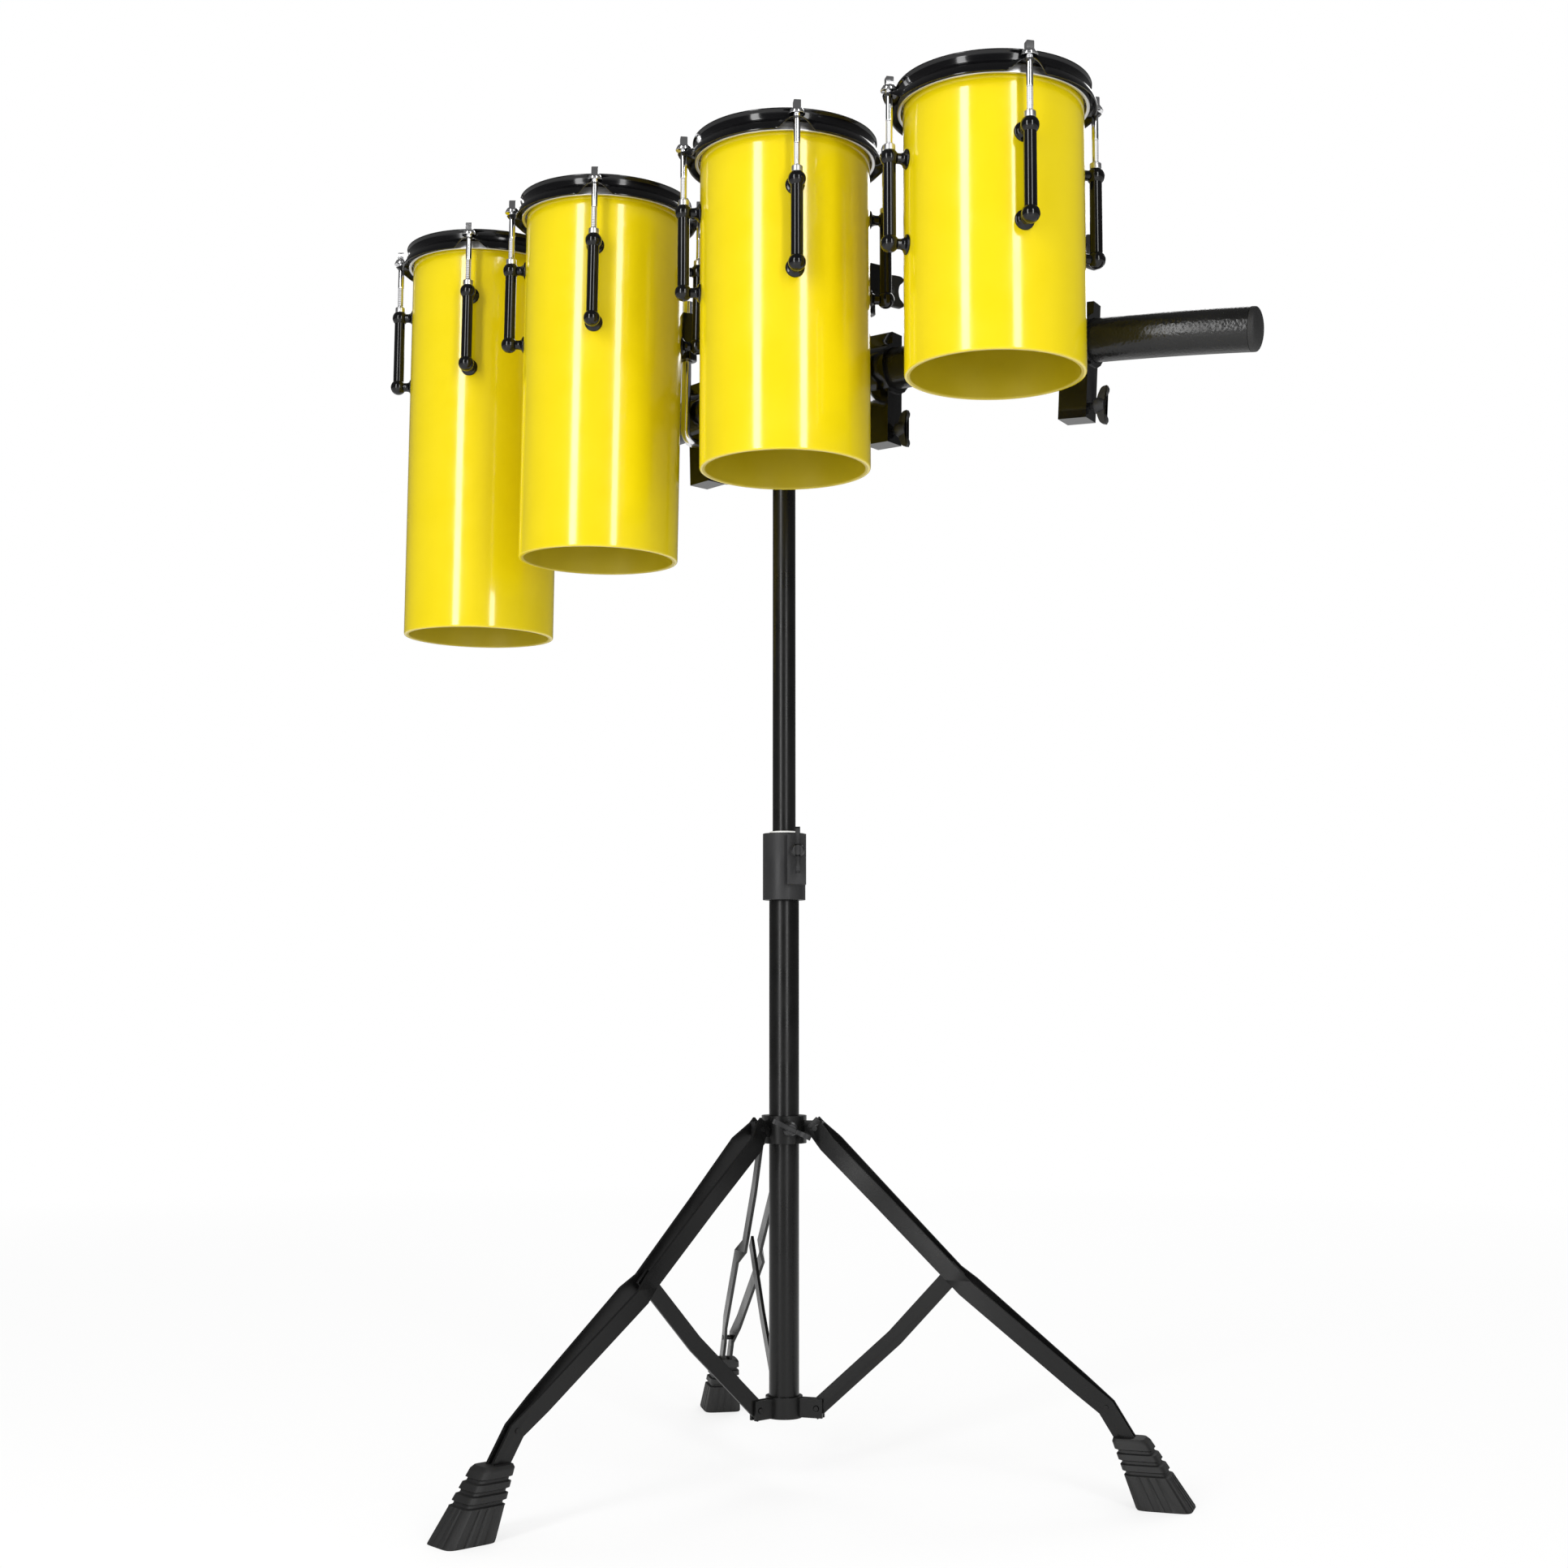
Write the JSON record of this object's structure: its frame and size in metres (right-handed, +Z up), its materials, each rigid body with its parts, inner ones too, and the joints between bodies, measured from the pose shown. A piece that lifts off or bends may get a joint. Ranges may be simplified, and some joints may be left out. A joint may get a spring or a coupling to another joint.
{
  "type": "octoban",
  "caption": "Set of deep, small-diameter tube drums of stepped lengths on a curved rack tube and a folding double-braced tripod stand.",
  "frame": {"origin": "centre of the object's box on the floor", "axes": "+Z up, -Y towards the player's front view, +X to the right in that view"},
  "size_m": [0.8169, 0.7878, 1.2284],
  "materials": {
    "yellow_shell": "gloss",
    "gloss_black": "gloss",
    "stand_black": "semi-gloss",
    "hammer_black": "hammered texture",
    "cast_grey": "matte cast",
    "chrome": "polished",
    "head_film": "translucent film on a silver hoop",
    "white_nylon": "matte",
    "black_rubber": "matte"
  },
  "bodies": {
    "stand": {"lower_tube": "stand_black", "height_bushing": "white_nylon", "height_collar": "cast_grey", "base_bracket": "stand_black"},
    "mast": {"upper_tube": "stand_black"},
    "lever": {"height_lever": "cast_grey"},
    "hub": {"leg_hub": "stand_black"},
    "hub_wing": {"hub_wing_bolt": "cast_grey"},
    "leg_a": {"leg_1": "stand_black", "foot_1": "black_rubber"},
    "leg_b": {"leg_2": "stand_black", "foot_2": "black_rubber"},
    "leg_c": {"leg_3": "stand_black", "foot_3": "black_rubber"},
    "stay_a": {"stay_1": "stand_black"},
    "stay_b": {"stay_2": "stand_black"},
    "stay_c": {"stay_3": "stand_black"},
    "rack_holder": {"rack_clamp": "cast_grey"},
    "rack_bolt": {"rack_clamp_bolt": "cast_grey"},
    "rack": {"rack_tube": "hammer_black", "rack_cap_left": "black_rubber", "rack_cap_right": "black_rubber"},
    "holder_a": {"clamp_1": "gloss_black"},
    "holder_b": {"clamp_2": "gloss_black"},
    "holder_c": {"clamp_3": "gloss_black"},
    "holder_d": {"clamp_4": "gloss_black"},
    "holder_wing_a": {"clamp_wing_1": "cast_grey"},
    "holder_wing_b": {"clamp_wing_2": "cast_grey"},
    "holder_wing_c": {"clamp_wing_3": "cast_grey"},
    "holder_wing_d": {"clamp_wing_4": "cast_grey"},
    "rod_a": {"l_rod_1": "chrome"},
    "rod_b": {"l_rod_2": "chrome"},
    "rod_c": {"l_rod_3": "chrome"},
    "rod_d": {"l_rod_4": "chrome"},
    "lock_a": {"memory_lock_1": "gloss_black"},
    "lock_b": {"memory_lock_2": "gloss_black"},
    "lock_c": {"memory_lock_3": "gloss_black"},
    "lock_d": {"memory_lock_4": "gloss_black"},
    "drum_a": {"shell_1": "yellow_shell", "head_1": "head_film", "rim_1": "gloss_black", "bracket_1": "gloss_black"},
    "drum_b": {"shell_2": "yellow_shell", "head_2": "head_film", "rim_2": "gloss_black", "bracket_2": "gloss_black"},
    "drum_c": {"shell_3": "yellow_shell", "head_3": "head_film", "rim_3": "gloss_black", "bracket_3": "gloss_black"},
    "drum_d": {"shell_4": "yellow_shell", "head_4": "head_film", "rim_4": "gloss_black", "bracket_4": "gloss_black"},
    "drum_wing_a": {"bracket_wing_1": "cast_grey"},
    "drum_wing_b": {"bracket_wing_2": "cast_grey"},
    "drum_wing_c": {"bracket_wing_3": "cast_grey"},
    "drum_wing_d": {"bracket_wing_4": "cast_grey"}
  },
  "joints": [
    {"name": "mast_slide", "type": "slide", "parent": "stand", "child": "mast", "axis": [0, 0, 1], "range_m": [-0.12, 0.1]},
    {"name": "lever_turn", "type": "hinge", "parent": "stand", "child": "lever", "pos_m": [0.0175, -0.018, 0.592], "axis": [0, -1, 0], "range_deg": [0, 180]},
    {"name": "hub_slide", "type": "slide", "parent": "stand", "child": "hub", "axis": [0, 0, 1], "range_m": [0, 0.1078]},
    {"name": "hub_wing_turn", "type": "hinge", "parent": "hub", "child": "hub_wing", "pos_m": [0.0045, 0.0105, 0.329], "axis": [0.1977, -0.9803, 0], "range_deg": [0, 180]},
    {"name": "leg_a_swing", "type": "hinge", "parent": "hub", "child": "leg_a", "pos_m": [0.03578, -0.00003, 0.329], "axis": [0.319, 0.9478, 0], "range_deg": [0, 38]},
    {"name": "leg_b_swing", "type": "hinge", "parent": "hub", "child": "leg_b", "pos_m": [-0.00202, 0.04285, 0.329], "axis": [-0.9803, -0.1977, 0], "range_deg": [0, 38]},
    {"name": "leg_c_swing", "type": "hinge", "parent": "hub", "child": "leg_c", "pos_m": [-0.02025, -0.01132, 0.329], "axis": [0.6613, -0.7501, 0], "range_deg": [0, 38]},
    {"name": "stay_a_swing", "type": "hinge", "parent": "stand", "child": "stay_a", "pos_m": [0.03578, -0.00003, 0.068], "axis": [-0.319, -0.9478, 0], "range_deg": [0, 38]},
    {"name": "stay_b_swing", "type": "hinge", "parent": "stand", "child": "stay_b", "pos_m": [-0.00202, 0.04285, 0.068], "axis": [0.9803, 0.1977, 0], "range_deg": [0, 38]},
    {"name": "stay_c_swing", "type": "hinge", "parent": "stand", "child": "stay_c", "pos_m": [-0.02025, -0.01132, 0.068], "axis": [-0.6613, 0.7501, 0], "range_deg": [0, 38]},
    {"name": "rack_swivel", "type": "hinge", "parent": "mast", "child": "rack_holder", "pos_m": [0.0045, 0.0105, 1.0303], "axis": [0, 0, 1], "range_deg": [-45, 45]},
    {"name": "rack_bolt_turn", "type": "hinge", "parent": "rack_holder", "child": "rack_bolt", "pos_m": [0.0045, 0.0105, 1.0303], "axis": [0.6682, 0.744, 0], "range_deg": [0, 180]},
    {"name": "rack_tilt", "type": "hinge", "parent": "rack_holder", "child": "rack", "pos_m": [-0.01822, -0.01479, 1.0303], "axis": [0.7438, -0.6681, 0.0188], "range_deg": [-12, 12]},
    {"name": "clamp_roll_a", "type": "hinge", "parent": "rack", "child": "holder_a", "pos_m": [-0.20339, 0.1822, 1.01789], "axis": [0.6192, -0.7819, 0.0725], "range_deg": [-12, 12]},
    {"name": "clamp_roll_b", "type": "hinge", "parent": "rack", "child": "holder_b", "pos_m": [-0.07316, 0.03694, 1.02831], "axis": [0.7113, -0.7021, 0.0339], "range_deg": [-12, 12]},
    {"name": "clamp_roll_c", "type": "hinge", "parent": "rack", "child": "holder_c", "pos_m": [0.09604, -0.10829, 1.0309], "axis": [0.8022, -0.597, -0.0107], "range_deg": [-12, 12]},
    {"name": "clamp_roll_d", "type": "hinge", "parent": "rack", "child": "holder_d", "pos_m": [0.26315, -0.2172, 1.02477], "axis": [0.8691, -0.4921, -0.0505], "range_deg": [-12, 12]},
    {"name": "clamp_wing_turn_a", "type": "hinge", "parent": "holder_a", "child": "holder_wing_a", "pos_m": [-0.20078, 0.1789, 0.96005], "axis": [0.6192, -0.7819, 0.0725], "range_deg": [0, 180]},
    {"name": "clamp_wing_turn_b", "type": "hinge", "parent": "holder_b", "child": "holder_wing_b", "pos_m": [-0.07176, 0.03556, 0.97034], "axis": [0.7113, -0.7021, 0.0339], "range_deg": [0, 180]},
    {"name": "clamp_wing_turn_c", "type": "hinge", "parent": "holder_c", "child": "holder_wing_c", "pos_m": [0.09554, -0.10792, 0.9729], "axis": [0.8022, -0.597, -0.0107], "range_deg": [0, 180]},
    {"name": "clamp_wing_turn_d", "type": "hinge", "parent": "holder_d", "child": "holder_wing_d", "pos_m": [0.2606, -0.21575, 0.96685], "axis": [0.8691, -0.4921, -0.0505], "range_deg": [0, 180]},
    {"name": "rod_tilt_a", "type": "hinge", "parent": "holder_a", "child": "rod_a", "pos_m": [-0.20199, 0.18044, 0.98697], "axis": [0.784, 0.6208, 0], "range_deg": [-3, 3]},
    {"name": "rod_tilt_b", "type": "hinge", "parent": "holder_b", "child": "rod_b", "pos_m": [-0.07241, 0.0362, 0.99733], "axis": [0.7025, 0.7117, 0], "range_deg": [-3, 3]},
    {"name": "rod_tilt_c", "type": "hinge", "parent": "holder_c", "child": "rod_c", "pos_m": [0.09578, -0.1081, 0.9999], "axis": [0.597, 0.8022, 0], "range_deg": [-3, 3]},
    {"name": "rod_tilt_d", "type": "hinge", "parent": "holder_d", "child": "rod_d", "pos_m": [0.26179, -0.21643, 0.99381], "axis": [0.4928, 0.8702, 0], "range_deg": [-3, 3]},
    {"name": "lock_slide_a", "type": "slide", "parent": "rod_a", "child": "lock_a", "axis": [0.0152, -0.0192, 0.9997], "range_m": [-0.02, 0]},
    {"name": "lock_slide_b", "type": "slide", "parent": "rod_b", "child": "lock_b", "axis": [0.0174, -0.0172, 0.9997], "range_m": [-0.02, 0]},
    {"name": "lock_slide_c", "type": "slide", "parent": "rod_c", "child": "lock_c", "axis": [0, 0, 1], "range_m": [-0.02, 0]},
    {"name": "lock_slide_d", "type": "slide", "parent": "rod_d", "child": "lock_d", "axis": [0, 0, 1], "range_m": [-0.02, 0]},
    {"name": "drum_turn_a", "type": "hinge", "parent": "lock_a", "child": "drum_a", "pos_m": [-0.22473, 0.16244, 0.98697], "axis": [0.0152, -0.0192, 0.9997], "range_deg": [-6, 6]},
    {"name": "drum_turn_b", "type": "hinge", "parent": "lock_b", "child": "drum_b", "pos_m": [-0.09279, 0.01556, 0.99733], "axis": [0.0174, -0.0172, 0.9997], "range_deg": [-6, 6]},
    {"name": "drum_turn_c", "type": "hinge", "parent": "lock_c", "child": "drum_c", "pos_m": [0.07846, -0.13136, 0.9999], "axis": [0, 0, 1], "range_deg": [-6, 6]},
    {"name": "drum_turn_d", "type": "hinge", "parent": "lock_d", "child": "drum_d", "pos_m": [0.2475, -0.24166, 0.99381], "axis": [0, 0, 1], "range_deg": [-6, 6]},
    {"name": "drum_wing_turn_a", "type": "hinge", "parent": "drum_a", "child": "drum_wing_a", "pos_m": [-0.22294, 0.16017, 1.10496], "axis": [0.9462, 0.3235, -0.0082], "range_deg": [0, 180]},
    {"name": "drum_wing_turn_b", "type": "hinge", "parent": "drum_b", "child": "drum_wing_b", "pos_m": [-0.09091, 0.01371, 1.10497], "axis": [0.8997, 0.4364, -0.0082], "range_deg": [0, 180]},
    {"name": "drum_wing_turn_c", "type": "hinge", "parent": "drum_c", "child": "drum_wing_c", "pos_m": [0.07846, -0.13136, 1.105], "axis": [0.8306, 0.5568, 0], "range_deg": [0, 180]},
    {"name": "drum_wing_turn_d", "type": "hinge", "parent": "drum_d", "child": "drum_wing_d", "pos_m": [0.2475, -0.24166, 1.105], "axis": [0.755, 0.6557, 0], "range_deg": [0, 180]}
  ],
  "couplings": [
    {"joint": "leg_a_swing", "follows": "hub_slide", "rad_per_m": 6.1488},
    {"joint": "leg_b_swing", "follows": "hub_slide", "rad_per_m": 6.1488},
    {"joint": "leg_c_swing", "follows": "hub_slide", "rad_per_m": 6.1488},
    {"joint": "stay_a_swing", "follows": "hub_slide", "rad_per_m": 6.1488},
    {"joint": "stay_b_swing", "follows": "hub_slide", "rad_per_m": 6.1488},
    {"joint": "stay_c_swing", "follows": "hub_slide", "rad_per_m": 6.1488}
  ]
}
